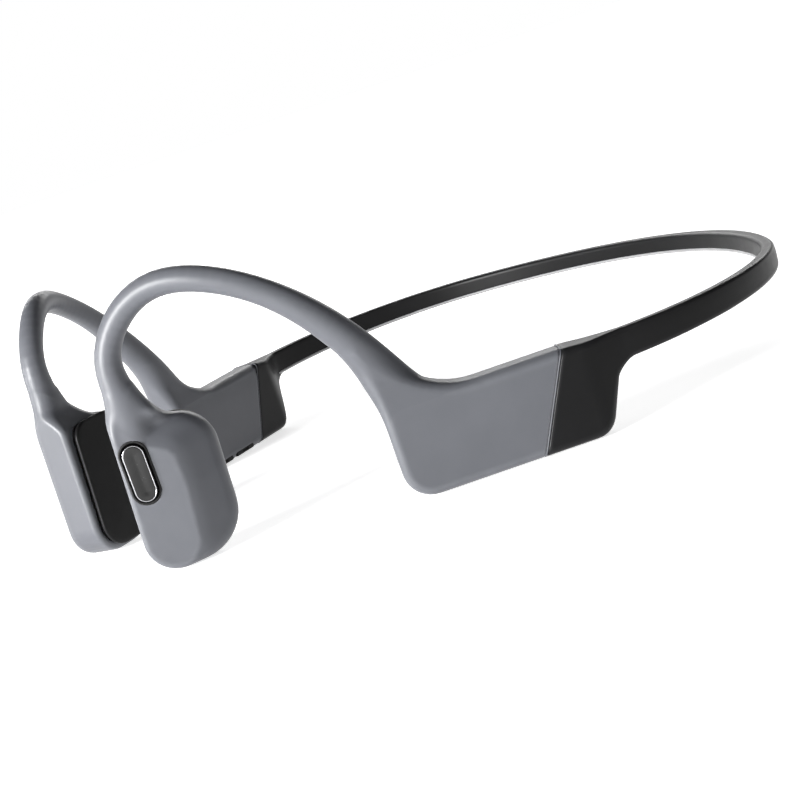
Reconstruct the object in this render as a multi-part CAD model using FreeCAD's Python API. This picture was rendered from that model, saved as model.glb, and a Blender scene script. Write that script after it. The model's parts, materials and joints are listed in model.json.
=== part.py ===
import FreeCAD, Part
import math
import os
from FreeCAD import Placement, Rotation, Vector

# Bone conduction headphones, in millimetres. +Z up, the face looks along -Y,
# +X is the wearer's left. Each arm is drawn in its own frame: u forwards along
# the arm, v outwards from the head, z up, and then set at the end of the band.

# ---- overall plan of the band -------------------------------------------
band_width = 129.2          # outside to outside, at the widest point
band_rear = 64.4            # outer face of the band behind the head, from the datum
band_thickness = 2.4
side_radius = 38.2          # middle of the band round the side of the head
side_centre_y = 17.0
nominal_width = 129.2       # the width at which the arms turn in by arm_toe_in
arm_toe_in = 28.2           # degrees; at other widths the arms turn to keep the pads apart
hinge_heading = 45.0        # degrees round the side curve where the arm flexes
band_top_rear = 15.2
band_top_side = 14.9
band_bottom_rear = 11.6
band_bottom_side = 9.8
knuckle_clearance = 0.15
blank_height = 30.0         # taller than the band, before it is cut to its heights

# ---- cores of the band --------------------------------------------------
wire_radius = 0.5
cable_radius = 0.4
core_clearance = 0.08
wire_height = 13.9
cable_height = 12.55
core_end_gap = 0.8
bore_lead = 12.0            # degrees of the side curve that the boot's bores follow

# ---- boot and ear housing, in the arm frame -----------------------------
housing_thickness = 6.8
housing_wall = 1.1
housing_top = 15.3
housing_front = 34.7
hook_seat_height = 17.0
seam_top_u = 5.3
seam_bottom_u = 12.6
boot_start_u = -4.6
boot_toe_u = 1.3
boot_full_u = 3.2           # where the boot reaches the full housing thickness
corner_radius = 4.6
spigot_length = 2.2
spigot_clearance = 0.1
edge_round = 1.2
spigot_root = 4.0           # how far the spigot reaches back into the boot
boot_step = 0.1             # the boot stands this far above the band's lower edge
boot_lip = 1.7              # from the boot's start to the foot of its rear edge
boot_lip_round = 1.6
boot_taper_radius = 6.0
hook_step_rear = 23.9       # where the housing's top rises to the hook seat
hook_step_front = 21.1
cavity_corner = 2.0

# ---- ear hook -----------------------------------------------------------
# middle of the hook with its half width and half thickness, base to tip
hook_stations = [
    (29.3, 0.0, 17.0, 5.30, 3.30),
    (32.3, 0.1, 21.4, 3.60, 3.00),
    (35.6, 0.6, 27.0, 2.75, 2.70),
    (44.2, 0.6, 37.1, 2.10, 2.10),
    (53.2, -1.0, 42.7, 2.05, 2.05),
    (61.4, -4.1, 44.2, 2.10, 2.10),
    (68.9, -7.0, 40.2, 2.10, 2.10),
    (72.3, -7.9, 34.0, 2.20, 2.20),
    (72.1, -7.9, 27.3, 2.90, 2.50),
]
hook_sections = 19
hook_bore = 1.15
hook_wire_radius = 0.45
hook_wire_offset = 0.5
hook_cable_radius = 0.35
hook_cable_offset = -0.55
hook_core_tail = 3.0

# ---- transducer pod -----------------------------------------------------
pod_front = 77.1
pod_depth = 16.5            # front to back
pod_shoulder = 22.0
pod_shoulder_radius = 6.2
pod_front_radius = 6.0
pod_rear_radius = 7.5
pod_neck_front = 75.3
pod_neck_rear = 68.6
pod_outer_v = -5.3
pod_thickness = 7.2
pod_wall = 1.2
pod_crease_u = 66.6
pod_crease_radius = 4.0
pod_rear_thickness = 3.2
pod_rim_round = 0.6
pod_lean_start = 20.5       # above this height the outer face leans in towards the hook
pod_lean = 1.4
pod_lean_top = 28.0
pad_thickness = 1.4
pad_gap = 0.35
pad_inset = 0.7

# ---- driver -------------------------------------------------------------
driver_u = 69.0
driver_z = 11.0
cup_radius = 5.2
cup_wall = 0.8
cup_board_gap = 0.1         # left between the cup and the board behind the button
cup_base_share = 10 / 31    # of the cup's depth, as are the next two
magnet_share = 14 / 31
top_plate_share = 6 / 31
magnet_radius = 3.1
coil_inner = 3.55
coil_outer = 4.0
coil_base_gap = 0.7         # from the coil to the base of the cup
leaf_thickness = 0.25
frame_thickness = 1.0
frame_clearance = 0.1
frame_back = 0.3            # from the leaf side of the cup to the frame
leaf_back = 0.1
leaf_window = 0.4           # clearance round the coil in the leaf
pad_edge_round = 0.9

# ---- controls -----------------------------------------------------------
button_u = 73.25
button_z = 16.9
button_width = 3.45
button_height = 9.3
button_clearance = 0.25
button_proud = 0.25
button_depth = 1.7
button_travel = 0.4
button_edge_round = 0.3
pill_roundness = 0.999      # just short of a half circle, so a short straight stays
switch_gap = 0.1            # left between a fully pressed button and its switch
switch_radius = 1.5
switch_height = 0.9
board_thickness = 0.8
button_board_width = 3.4
button_board_height = 8.0
button_board_back = 0.7     # the board's middle, behind the button's middle
microphone_size = (2.2, 0.9, 1.4)
microphone_drop = 3.2       # below the button's middle
volume_length = 6.0
volume_width = 2.6
volume_depth = 1.1
volume_u = (18.7, 26.3)     # middles of the two volume buttons
volume_recess = 0.12
volume_clearance = 0.25
volume_travel = 0.4
volume_switch_length = 2.4
volume_switch_width = 1.6
volume_board_margin = 2.0   # past the outer ends of the two switches

# ---- electronics --------------------------------------------------------
battery_size = (13.3, 3.6, 9.0)     # u, v, z
battery_board_size = (1.2, 3.2, 8.0)
battery_board_gap = 0.2
main_board_size = (16.5, 0.8, 8.2)
main_board_drop = 0.2
processor_size = (5.0, 1.0, 5.0)
processor_ahead = 7.0       # its middle, from the rear end of the main board
electronics_gap = 0.4       # from the boot's spigot to the first board
contact_radius = 0.7
contact_spacing = 3.0
contact_inside = 0.6        # how far a contact pin stands into the housing
charge_u = 29.0
charge_z = 6.0

half_band = band_thickness / 2
half_housing = housing_thickness / 2
side_centre_x = band_width / 2 - half_band - side_radius
apex_y = band_rear - half_band
lead = apex_y - side_radius
rear_centre_y = (lead ** 2 - side_centre_x ** 2 - side_centre_y ** 2) / (2 * (lead - side_centre_y))
rear_radius = apex_y - rear_centre_y
join_heading = math.degrees(math.atan2(side_centre_x, side_centre_y - rear_centre_y))
pod_inner_v = pod_outer_v - pod_thickness
pad_face_v = pod_inner_v - pad_gap - pad_thickness
pad_swing = math.hypot(side_radius + pad_face_v, driver_u)
pad_angle = math.degrees(math.atan2(driver_u, side_radius + pad_face_v))
pad_cosine = math.cos(math.radians(arm_toe_in + pad_angle))
extra_width = band_width - nominal_width
toe_in = math.degrees(math.acos(pad_cosine - extra_width / 2 / pad_swing)) - pad_angle
arm_heading = 90.0 + toe_in
button_stack = button_depth - button_proud + button_travel + switch_gap + switch_height + board_thickness
cup_depth = pod_thickness - button_stack - leaf_back - leaf_thickness - cup_board_gap
cup_base = cup_base_share * cup_depth
magnet_height = magnet_share * cup_depth
top_plate_height = top_plate_share * cup_depth
coil_height = pad_gap + leaf_back + leaf_thickness + cup_depth - cup_base - coil_base_gap
volume_switch_low = volume_recess + volume_depth + volume_travel + switch_gap
arm_turn = Rotation(Vector(0, 0, 1), 270.0 - toe_in)


def band_point(heading, offset=0.0, z=0.0):
    """Point on the band's plan curve; heading 0 is behind the head, offset is outwards."""
    angle = math.radians(abs(heading))
    if abs(heading) <= join_heading:
        centre_x, centre_y, radius = 0.0, rear_centre_y, rear_radius + offset
    else:
        centre_x, centre_y, radius = side_centre_x, side_centre_y, side_radius + offset
    x = centre_x + radius * math.sin(angle)
    return Vector(math.copysign(x, heading), centre_y + radius * math.cos(angle), z)


arm_origin = band_point(arm_heading)
arm_place = Placement(arm_origin, arm_turn)
hinge_point = band_point(hinge_heading)


def plan_edges(start, end, offset, z=0.0):
    """Arcs along the band between two headings."""
    stops = [start] + [h for h in (-join_heading, join_heading) if start < h < end] + [end]
    edges = []
    for low, high in zip(stops, stops[1:]):
        points = [band_point(h, offset, z) for h in (low, (low + high) / 2, high)]
        edges.append(Part.Arc(*points).toShape())
    return edges


def ribbon(start, end, offset, low, high):
    """The band's plan between two headings, drawn up from low to high."""
    outer = plan_edges(start, end, offset)
    inner = plan_edges(start, end, -offset)
    ends = [
        Part.makeLine(band_point(h, offset), band_point(h, -offset)) for h in (start, end)
    ]
    wire = Part.Wire(Part.__sortEdges__(outer + inner + ends))
    face = Part.Face(wire)
    face.translate(Vector(0, 0, low))
    return face.extrude(Vector(0, 0, high - low))


def core(start, end, radius, height):
    """A round wire that follows the band between two headings."""
    path = Part.Wire(plan_edges(start, end, 0.0, height))
    ahead = path.Edges[0].tangentAt(path.Edges[0].FirstParameter)
    ring = Part.Wire(Part.Circle(band_point(start, 0.0, height), ahead, radius).toShape())
    return path.makePipeShell([ring], True, False)


def straight_core(u_start, u_end, radius, height):
    start = Vector(u_start, 0, height)
    return Part.makeCylinder(radius, u_end - u_start, start, Vector(1, 0, 0))


def outline(corners, lift):
    """Closed wire through (a, b, corner radius) with tangent arcs; lift places a and b in space."""
    count = len(corners)
    starts, ends, arcs = [], [], []
    for i, (a, b, radius) in enumerate(corners):
        here = Vector(a, b, 0)
        before = Vector(*corners[i - 1][:2], 0) - here
        after = Vector(*corners[(i + 1) % count][:2], 0) - here
        before.normalize()
        after.normalize()
        if radius == 0:
            starts.append(here)
            ends.append(here)
            arcs.append(None)
            continue
        half = before.getAngle(after) / 2
        reach = radius / math.tan(half)
        bisector = (before + after).normalize()
        middle = here + bisector * (radius / math.sin(half) - radius)
        starts.append(here + before * reach)
        ends.append(here + after * reach)
        arcs.append(middle)
    edges = []
    for i in range(count):
        if arcs[i] is not None:
            edges.append(Part.Arc(lift(starts[i]), lift(arcs[i]), lift(ends[i])).toShape())
        following = starts[(i + 1) % count]
        if (following - ends[i]).Length > 1e-6:
            edges.append(Part.makeLine(lift(ends[i]), lift(following)))
    return Part.Wire(edges)


def side_slab(corners, v_low, v_high):
    """An outline in (u, z) drawn outwards from v_low to v_high."""
    wire = outline(corners, lambda p: Vector(p.x, v_low, p.y))
    return Part.Face(wire).extrude(Vector(0, v_high - v_low, 0))


def plan_slab(corners, z_low, z_high):
    """An outline in (u, v) drawn up from z_low to z_high."""
    wire = outline(corners, lambda p: Vector(p.x, p.y, z_low))
    return Part.Face(wire).extrude(Vector(0, 0, z_high - z_low))


def end_slab(corners, u_low, u_high):
    """An outline in (v, z) drawn forwards from u_low to u_high."""
    wire = outline(corners, lambda p: Vector(u_low, p.x, p.y))
    return Part.Face(wire).extrude(Vector(u_high - u_low, 0, 0))


def block(middle, size):
    """A box about its middle, both as (u, v, z)."""
    corner = Vector(*[m - s / 2 for m, s in zip(middle, size)])
    return Part.makeBox(*size, corner)


def disc(radius, v_low, v_high, u=driver_u, z=driver_z):
    return Part.makeCylinder(radius, v_high - v_low, Vector(u, v_low, z), Vector(0, 1, 0))


def pill(width, height, u, z, v_low, v_high):
    r = width / 2
    low, high = z - height / 2, z + height / 2
    bend = r * pill_roundness
    corners = [(u - r, low, bend), (u + r, low, bend), (u + r, high, bend), (u - r, high, bend)]
    return side_slab(corners, v_low, v_high)


def round_rims(solid, radius, v_planes, skip_z=()):
    """Round the edges that lie in the given v planes, except those at a skipped height."""
    chosen = []
    for edge in solid.Edges:
        box = edge.BoundBox
        in_plane = any(abs(box.YMin - v) < 1e-4 and abs(box.YMax - v) < 1e-4 for v in v_planes)
        skipped = any(abs(box.ZMin - z) < 1e-4 and abs(box.ZMax - z) < 1e-4 for z in skip_z)
        if in_plane and not skipped:
            chosen.append(edge)
    return solid.makeFillet(radius, chosen)


# ---- band ---------------------------------------------------------------
def band_profile():
    """Side view of the band, drawn across the whole width: slim behind, deeper at the boots."""
    rear = band_rear + 1
    front = arm_origin.y - 6
    points = [
        Vector(-band_width, front, band_bottom_side),
        Vector(-band_width, rear, band_bottom_rear),
        Vector(-band_width, rear, band_top_rear),
        Vector(-band_width, front, band_top_side),
    ]
    face = Part.Face(Part.makePolygon(points + points[:1]))
    return face.extrude(Vector(2 * band_width, 0, 0))


def knuckle(radius, side=1):
    return Part.makeCylinder(radius, 30, Vector(side * hinge_point.x, hinge_point.y, 0))


def band_pieces():
    profile = band_profile()
    bore_wire = wire_radius + core_clearance
    bore_cable = cable_radius + core_clearance
    rear = ribbon(-hinge_heading, hinge_heading, half_band, 0, blank_height)
    for side in (-1, 1):
        rear = rear.cut(knuckle(half_band + knuckle_clearance, side))
    rear = rear.common(profile)
    stop = hinge_heading - math.degrees((half_band + core_end_gap) / side_radius)
    rear = rear.cut(core(-hinge_heading, hinge_heading, bore_wire, wire_height))
    rear = rear.cut(core(-hinge_heading, hinge_heading, bore_cable, cable_height))

    side = ribbon(hinge_heading, arm_heading, half_band, 0, blank_height).fuse(knuckle(half_band))
    side = side.removeSplitter().common(profile)
    ahead = Part.makeBox(60, 60, 60, Vector(boot_start_u, -30, -10))
    ahead.Placement = arm_place
    start = hinge_heading + math.degrees((half_band + core_end_gap) / side_radius)
    side = side.cut(ahead)
    side = side.cut(core(start - 0.3, arm_heading, bore_wire, wire_height))
    side = side.cut(core(start - 0.3, arm_heading, bore_cable, cable_height))
    return {
        "rear_band_sleeve": rear,
        "rear_band_wire": core(-stop, stop, wire_radius, wire_height),
        "rear_band_cable": core(-stop, stop, cable_radius, cable_height),
    }, {
        "band_sleeve": side,
        "band_wire": core(start, arm_heading, wire_radius, wire_height),
        "band_cable": core(start, arm_heading, cable_radius, cable_height),
    }


# ---- boot and housing ---------------------------------------------------
def housing_corners(inset=0.0):
    slope = (seam_bottom_u - seam_top_u) / housing_top
    low, high = inset, housing_top - inset
    back_low = seam_bottom_u - slope * low
    back_high = seam_bottom_u - slope * high
    front = housing_front - inset
    if inset:
        return [
            (back_low, low, 0),
            (front, low, corner_radius - inset),
            (front, high, cavity_corner),
            (back_high, high, 0),
        ]
    return [
        (back_low, low, 0),
        (front - 0.3, low, corner_radius),
        (front, hook_seat_height, 0),
        (hook_step_rear, hook_seat_height, 0),
        (hook_step_front, housing_top + 0.3, 4.0),
        (back_high, high, 0),
    ]


def housing_shell():
    slab = side_slab(housing_corners(), -half_housing, half_housing)
    slab = round_rims(slab, edge_round, (-half_housing, half_housing), (hook_seat_height,))
    inner = half_housing - housing_wall
    slab = slab.cut(side_slab(housing_corners(housing_wall), -inner, inner))
    base_u, base_v, base_z = hook_stations[0][:3]
    bore = Part.makeCylinder(hook_bore, base_z, Vector(base_u, base_v, base_z - 4))
    return slab.cut(bore)


def boot():
    bottom_face = band_bottom_side + boot_step
    corners = [
        (boot_start_u, bottom_face, 0),
        (boot_start_u, band_top_side, 0),
        (seam_top_u, housing_top, 0),
        (seam_bottom_u, 0, 0),
        (boot_toe_u, 0, corner_radius - 0.8),
        (boot_start_u + boot_lip, bottom_face, boot_lip_round),
    ]
    slab = side_slab(corners, -half_housing, half_housing)
    plan = [
        (boot_start_u, -half_band, 0),
        (boot_full_u, -half_housing, boot_taper_radius),
        (seam_bottom_u + 1, -half_housing, 0),
        (seam_bottom_u + 1, half_housing, 0),
        (boot_full_u, half_housing, boot_taper_radius),
        (boot_start_u, half_band, 0),
    ]
    body = slab.common(plan_slab(plan, -1, 20))
    inset = housing_wall + spigot_clearance
    inner = half_housing - inset
    spigot = side_slab(housing_corners(inset), -inner, inner)
    near_seam = side_slab(
        [
            (seam_bottom_u - spigot_root, 0, 0),
            (seam_bottom_u + spigot_length, 0, 0),
            (seam_top_u + spigot_length, housing_top, 0),
            (seam_top_u - spigot_root, housing_top, 0),
        ],
        -half_housing,
        half_housing,
    )
    body = body.fuse(spigot.common(near_seam)).removeSplitter()
    cable_end = seam_bottom_u + spigot_length
    for radius, height, stop in (
        (wire_radius + core_clearance, wire_height, seam_top_u),
        (cable_radius + core_clearance, cable_height, cable_end),
    ):
        curved = core(arm_heading - bore_lead, arm_heading, radius, height)
        curved.Placement = arm_place.inverse().multiply(curved.Placement)
        body = body.cut(curved).cut(straight_core(0, stop, radius, height))
    return body


# ---- ear hook -----------------------------------------------------------
def hook_frames(extra):
    """Middle, width and thickness directions and half sizes, evenly along the hook."""
    middles = [Vector(*s[:3]) for s in hook_stations]
    along = [0.0]
    for before, after in zip(middles, middles[1:]):
        along.append(along[-1] + (after - before).Length)
    widths = [Vector(s[3], s[4], at) for s, at in zip(hook_stations, along)]
    path, sizes = Part.BSplineCurve(), Part.BSplineCurve()
    up = Vector(0, 0, 1)
    path.interpolate(Points=middles, Parameters=along)
    sizes.interpolate(Points=widths, Parameters=along)
    frames = []
    for step in range(hook_sections):
        at = along[-1] * step / (hook_sections - 1)
        tangent = path.tangent(at)[0]
        if step in (0, hook_sections - 1):
            tangent = up if step == 0 else -up
        thick = Vector(0, 1, 0)
        thick = (thick - tangent * thick.dot(tangent)).normalize()
        size = sizes.value(at)
        frames.append((path.value(at), thick.cross(tangent), thick, size.x, size.y))
    if extra:
        first, last = frames[0], frames[-1]
        frames = [(first[0] - up * extra, *first[1:])] + frames
        frames = frames + [(last[0] - up * extra, *last[1:])]
    return frames


def ring(middle, across, thick, half_width, half_thick):
    """Closed smooth section through twelve points of an ellipse."""
    points = []
    for step in range(12):
        angle = 2 * math.pi * step / 12
        sideways = across * (half_width * math.cos(angle))
        points.append(middle + sideways + thick * (half_thick * math.sin(angle)))
    curve = Part.BSplineCurve()
    curve.interpolate(Points=points, PeriodicFlag=True)
    return Part.Wire(curve.toShape())


def hook_rings(radius=None, offset=0.0, extra=0.0):
    """Sections of the hook's outside, or of a round bore or core of the given radius along it."""
    rings = []
    for middle, across, thick, width, depth in hook_frames(extra):
        if radius is not None:
            width, depth = radius, radius
        rings.append(ring(middle + across * offset, across, thick, width, depth))
    return rings


def closed_tube(outer, inner=None):
    """Solid between straight-sided skins through the sections, closed by a flat face at each end."""
    faces = []
    for rings in (outer, inner):
        for low, high in zip(rings or [], (rings or [])[1:]):
            faces.append(Part.makeRuledSurface(low.Edges[0], high.Edges[0]))
    for i in (0, -1):
        faces.append(Part.Face([outer[i]] + ([inner[i]] if inner else [])))
    shell = Part.makeShell(faces)
    shell.sewShape()
    solid = Part.makeSolid(shell)
    if solid.Volume < 0:
        solid.reverse()
    return solid


def hook_pieces():
    wire = hook_rings(hook_wire_radius, hook_wire_offset, hook_core_tail)
    cable = hook_rings(hook_cable_radius, hook_cable_offset, hook_core_tail)
    return {
        "hook_sleeve": closed_tube(hook_rings(), hook_rings(hook_bore)),
        "hook_wire": closed_tube(wire),
        "hook_cable": closed_tube(cable),
    }


# ---- transducer pod -----------------------------------------------------
def pod_corners(inset=0.0, with_neck=True):
    front, rear = pod_front - inset, pod_front - pod_depth + inset
    corners = [
        (front, inset, pod_front_radius - inset),
        (rear + 1.0, inset, pod_rear_radius - inset),
        (rear, pod_shoulder - inset, pod_shoulder_radius - inset),
    ]
    if with_neck:
        seat = hook_stations[-1][2]
        corners += [(pod_neck_rear - 2.0, 23.9, 2.5), (pod_neck_rear, seat, 0), (pod_neck_front, seat, 0)]
    else:
        corners += [(pod_neck_rear, 24.2 - inset, 3.0), (pod_neck_front - inset, 24.6 - inset, 2.0)]
    return corners


def pod_section(inset=0.0):
    """Plan view of the pod: flat outer facet, then a bevel back to the thin rear edge."""
    front, rear = pod_front + 1, pod_front - pod_depth
    outer, inner = pod_outer_v - inset, pod_inner_v - 1
    rear_v = pod_inner_v + pod_rear_thickness - inset
    return [
        (front, inner, 0),
        (front, outer, 0),
        (pod_crease_u - inset * 0.3, outer, pod_crease_radius),
        (rear, rear_v, 0),
        (rear, inner, 0),
    ]


def pod_block(inset, with_neck):
    outer = pod_outer_v - inset
    slab = side_slab(pod_corners(inset, with_neck), pod_inner_v, outer)
    if with_neck:
        slab = round_rims(slab, pod_rim_round, (outer,), (hook_stations[-1][2],))
    slab = slab.common(plan_slab(pod_section(inset), -1, 40))
    slope = [
        (pod_inner_v - 1, -1, 0),
        (outer, -1, 0),
        (outer, pod_lean_start - inset, 3.0),
        (outer - pod_lean, pod_lean_top, 0),
        (pod_inner_v - 1, pod_lean_top, 0),
    ]
    return slab.common(end_slab(slope, 45, 90))


def pod_shell():
    body = pod_block(0.0, True).cut(pod_block(pod_wall, False))
    tip_u, tip_v, tip_z = hook_stations[-1][:3]
    bore = Part.makeCylinder(hook_bore, 6, Vector(tip_u, tip_v, tip_z - 6))
    return body.cut(bore)


def button_pocket():
    gap = 2 * button_clearance
    width, height = button_width + gap, button_height + gap
    return pill(width, height, button_u, button_z, pod_outer_v - 3, pod_outer_v + 3)


def driver_pieces():
    """Cup, magnet, top plate, frame and leaf stay in the pod; pad and coil move."""
    mouth = pod_inner_v + leaf_back + leaf_thickness
    cup = disc(cup_radius, mouth, mouth + cup_depth)
    cup = cup.cut(disc(cup_radius - cup_wall, mouth - 1, mouth + cup_depth - cup_base))
    magnet_v = mouth + cup_depth - cup_base
    magnet = disc(magnet_radius, magnet_v - magnet_height, magnet_v)
    plate_v = magnet_v - magnet_height
    plate = disc(magnet_radius, plate_v - top_plate_height, plate_v)
    fit = pod_wall + frame_clearance
    frame_v = mouth + frame_back
    frame = side_slab(pod_corners(fit, False), frame_v, frame_v + frame_thickness)
    frame = frame.common(plan_slab(pod_section(fit), -1, 40))
    frame = frame.cut(disc(cup_radius, mouth - 1, mouth + cup_depth))
    leaf = side_slab(pod_corners(fit, False), pod_inner_v + leaf_back, mouth)
    leaf = leaf.cut(disc(coil_outer + leaf_window, pod_inner_v - 1, pod_inner_v + 1))
    back = pod_inner_v - pad_gap
    pad = side_slab(pod_corners(pad_inset, False), back - pad_thickness, back)
    pad = round_rims(pad, pad_edge_round, (back - pad_thickness,))
    coil = disc(coil_outer, back, back + coil_height)
    coil = coil.cut(disc(coil_inner, back - 1, back + coil_height + 1))
    return {
        "driver_cup": cup,
        "driver_magnet": magnet,
        "driver_top_plate": plate,
        "driver_frame": frame,
        "driver_leaf": leaf,
        "transducer_pad": pad,
        "voice_coil": coil,
    }


# ---- controls and electronics -------------------------------------------
def left_controls():
    """Multifunction button with its switch, board and microphone, in the left pod."""
    face = pod_outer_v + button_proud
    cap = pill(button_width, button_height, button_u, button_z, face - button_depth, face)
    cap = round_rims(cap, button_edge_round, (face,))
    under = face - button_depth - button_travel - switch_gap
    switch = disc(switch_radius, under - switch_height, under, button_u, button_z)
    board_u = button_u - button_board_back
    board_v = under - switch_height - board_thickness / 2
    board_size = (button_board_width, board_thickness, button_board_height)
    board = block((board_u, board_v, button_z), board_size)
    mic_v = board_v + board_thickness / 2 + microphone_size[1] / 2
    mic = block((board_u, mic_v, button_z - microphone_drop), microphone_size)
    return {
        "multifunction_button": cap,
        "multifunction_switch": switch,
        "button_board": board,
        "microphone": mic,
    }


def left_electronics():
    length, _, height = battery_size
    board_length = battery_board_size[0]
    rear = seam_bottom_u + spigot_length + electronics_gap
    middle_z = housing_wall + height / 2
    battery_u = rear + board_length + battery_board_gap + length / 2
    return {
        "battery": block((battery_u, 0, middle_z), battery_size),
        "battery_board": block((rear + board_length / 2, 0, middle_z), battery_board_size),
    }


def volume_cap(u):
    corner = Vector(u - volume_length / 2, -half_housing, volume_recess)
    return Part.makeBox(volume_length, volume_width, volume_depth, corner)


def volume_pocket(u):
    """Open to the inner face and the underside, and deep enough for the travel."""
    length = volume_length + 2 * volume_clearance
    width = volume_width + volume_clearance
    corner = Vector(u - length / 2, -half_housing - 1, -1)
    return Part.makeBox(length, width + 1, volume_switch_low + 1, corner)


def contact_pin(step, v_low, v_high):
    u = charge_u + step * contact_spacing
    return disc(contact_radius, v_low, v_high, u, charge_z)


def right_electronics():
    length, depth, height = main_board_size
    rear = seam_bottom_u + spigot_length + electronics_gap
    board_z = housing_top - housing_wall - height / 2 - main_board_drop
    board_v = half_housing - housing_wall - depth / 2
    chip_v = board_v - depth / 2 - processor_size[1] / 2
    pieces = {
        "main_board": block((rear + length / 2, board_v, board_z), main_board_size),
        "processor": block((rear + processor_ahead, chip_v, board_z), processor_size),
    }
    switch_v = -half_housing + housing_wall + volume_switch_width / 2
    switch_size = (volume_switch_length, volume_switch_width, switch_height)
    for name, u in zip(("volume_down", "volume_up"), volume_u):
        pieces[name + "_button"] = volume_cap(u)
        middle = (u, switch_v, volume_switch_low + switch_height / 2)
        pieces[name + "_switch"] = block(middle, switch_size)
    spread = volume_u[1] - volume_u[0] + volume_switch_length + 2 * volume_board_margin
    volume_board_z = volume_switch_low + switch_height + board_thickness / 2
    inside = housing_thickness - 2 * housing_wall
    pieces["volume_board"] = block(
        (sum(volume_u) / 2, 0, volume_board_z), (spread, inside, board_thickness)
    )
    reach = -half_housing + housing_wall + contact_inside
    pins = [contact_pin(step, -half_housing, reach) for step in (-0.5, 0.5)]
    pieces["charging_contacts"] = Part.makeCompound(pins)
    return pieces


# ---- assembly -----------------------------------------------------------
def mirrored(shape):
    return shape.mirror(Vector(0, 0, 0), Vector(1, 0, 0))


def on_arm(shape):
    """A piece drawn in the arm frame, set at the end of the band."""
    placed = shape.copy()
    placed.Placement = arm_place.multiply(placed.Placement)
    return placed


def right_housing(shell):
    """The right housing has openings for the volume buttons and the charging contacts."""
    for u in volume_u:
        shell = shell.cut(volume_pocket(u))
    for step in (-0.5, 0.5):
        shell = shell.cut(contact_pin(step, -half_housing - 1, -half_housing + housing_wall + 1))
    return shell


def build():
    rear, side = band_pieces()
    left = {"boot": boot(), "ear_housing": housing_shell(), "pod_shell": pod_shell()}
    left.update(hook_pieces())
    left.update(driver_pieces())
    right = dict(left)
    left["pod_shell"] = left["pod_shell"].cut(button_pocket())
    right["ear_housing"] = right_housing(right["ear_housing"])
    pieces = dict(rear)
    for name, shape in side.items():
        pieces["left_" + name] = shape
        pieces["right_" + name] = mirrored(shape)
    for name, shape in left.items():
        pieces["left_" + name] = on_arm(shape)
    for name, shape in right.items():
        pieces["right_" + name] = mirrored(on_arm(shape))
    for name, shape in {**left_electronics(), **left_controls()}.items():
        pieces[name] = on_arm(shape)
    for name, shape in right_electronics().items():
        pieces[name] = mirrored(on_arm(shape))
    return pieces


pieces = build()
whole = Part.makeCompound(list(pieces.values()))
box = whole.optimalBoundingBox(False, False)
shift = Vector(0, -(box.YMin + box.YMax) / 2, -box.ZMin)
os.makedirs("parts", exist_ok=True)
for node, shape in sorted(pieces.items()):
    shape.translate(shift)
    shape.exportStep("parts/" + node + ".step")

local_points = {
    "underside": Vector(25.0, 0, 0),
    "multifunction_button": Vector(button_u, pod_outer_v, button_z),
    "pad": Vector(driver_u, pad_face_v, driver_z),
}
print("size", round(box.XLength, 3), round(box.YLength, 3), round(box.ZLength, 3))
print("shift", [round(c, 5) for c in shift])
print("hinge", [round(c, 4) for c in hinge_point + shift])
for name, point in local_points.items():
    print(name, [round(c, 4) for c in arm_place.multVec(point) + shift])
outward = arm_turn.multVec(Vector(0, 1, 0))
print("outward", [round(c, 6) for c in outward])
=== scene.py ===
import json
import math

import bmesh
import bpy
import numpy as np
from mathutils import Matrix, Vector


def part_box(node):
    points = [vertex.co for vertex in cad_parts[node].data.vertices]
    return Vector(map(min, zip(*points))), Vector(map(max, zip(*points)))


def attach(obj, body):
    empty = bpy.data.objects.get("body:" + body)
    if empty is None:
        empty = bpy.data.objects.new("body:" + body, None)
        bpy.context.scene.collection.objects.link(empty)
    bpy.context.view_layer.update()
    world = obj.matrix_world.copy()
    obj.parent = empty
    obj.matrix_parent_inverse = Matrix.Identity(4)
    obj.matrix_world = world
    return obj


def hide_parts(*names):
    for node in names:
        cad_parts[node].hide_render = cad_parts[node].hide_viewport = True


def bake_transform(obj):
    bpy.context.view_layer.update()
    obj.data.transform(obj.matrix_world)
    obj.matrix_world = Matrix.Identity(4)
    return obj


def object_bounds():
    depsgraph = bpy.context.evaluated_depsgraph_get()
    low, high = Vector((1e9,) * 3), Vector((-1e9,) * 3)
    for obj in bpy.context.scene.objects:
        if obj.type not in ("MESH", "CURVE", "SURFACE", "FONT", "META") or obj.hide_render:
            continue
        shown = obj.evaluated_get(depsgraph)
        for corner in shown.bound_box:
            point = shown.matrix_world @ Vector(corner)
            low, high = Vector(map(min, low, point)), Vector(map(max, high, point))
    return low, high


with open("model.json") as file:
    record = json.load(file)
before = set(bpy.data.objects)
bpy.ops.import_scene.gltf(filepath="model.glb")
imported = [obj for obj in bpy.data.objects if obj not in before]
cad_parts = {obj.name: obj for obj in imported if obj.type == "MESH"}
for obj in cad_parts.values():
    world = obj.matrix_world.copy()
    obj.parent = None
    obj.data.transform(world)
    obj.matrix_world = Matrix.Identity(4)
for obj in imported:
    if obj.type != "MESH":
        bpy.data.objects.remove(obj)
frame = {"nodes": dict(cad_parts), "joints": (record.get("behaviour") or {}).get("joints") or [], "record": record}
cadLow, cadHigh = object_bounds()
nodes = frame["nodes"]
record = frame["record"]
joints = {joint["name"]: joint for joint in frame["joints"]}
mounts = {mount["name"]: mount for mount in record["mounts"]}
mm = 0.001

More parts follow.
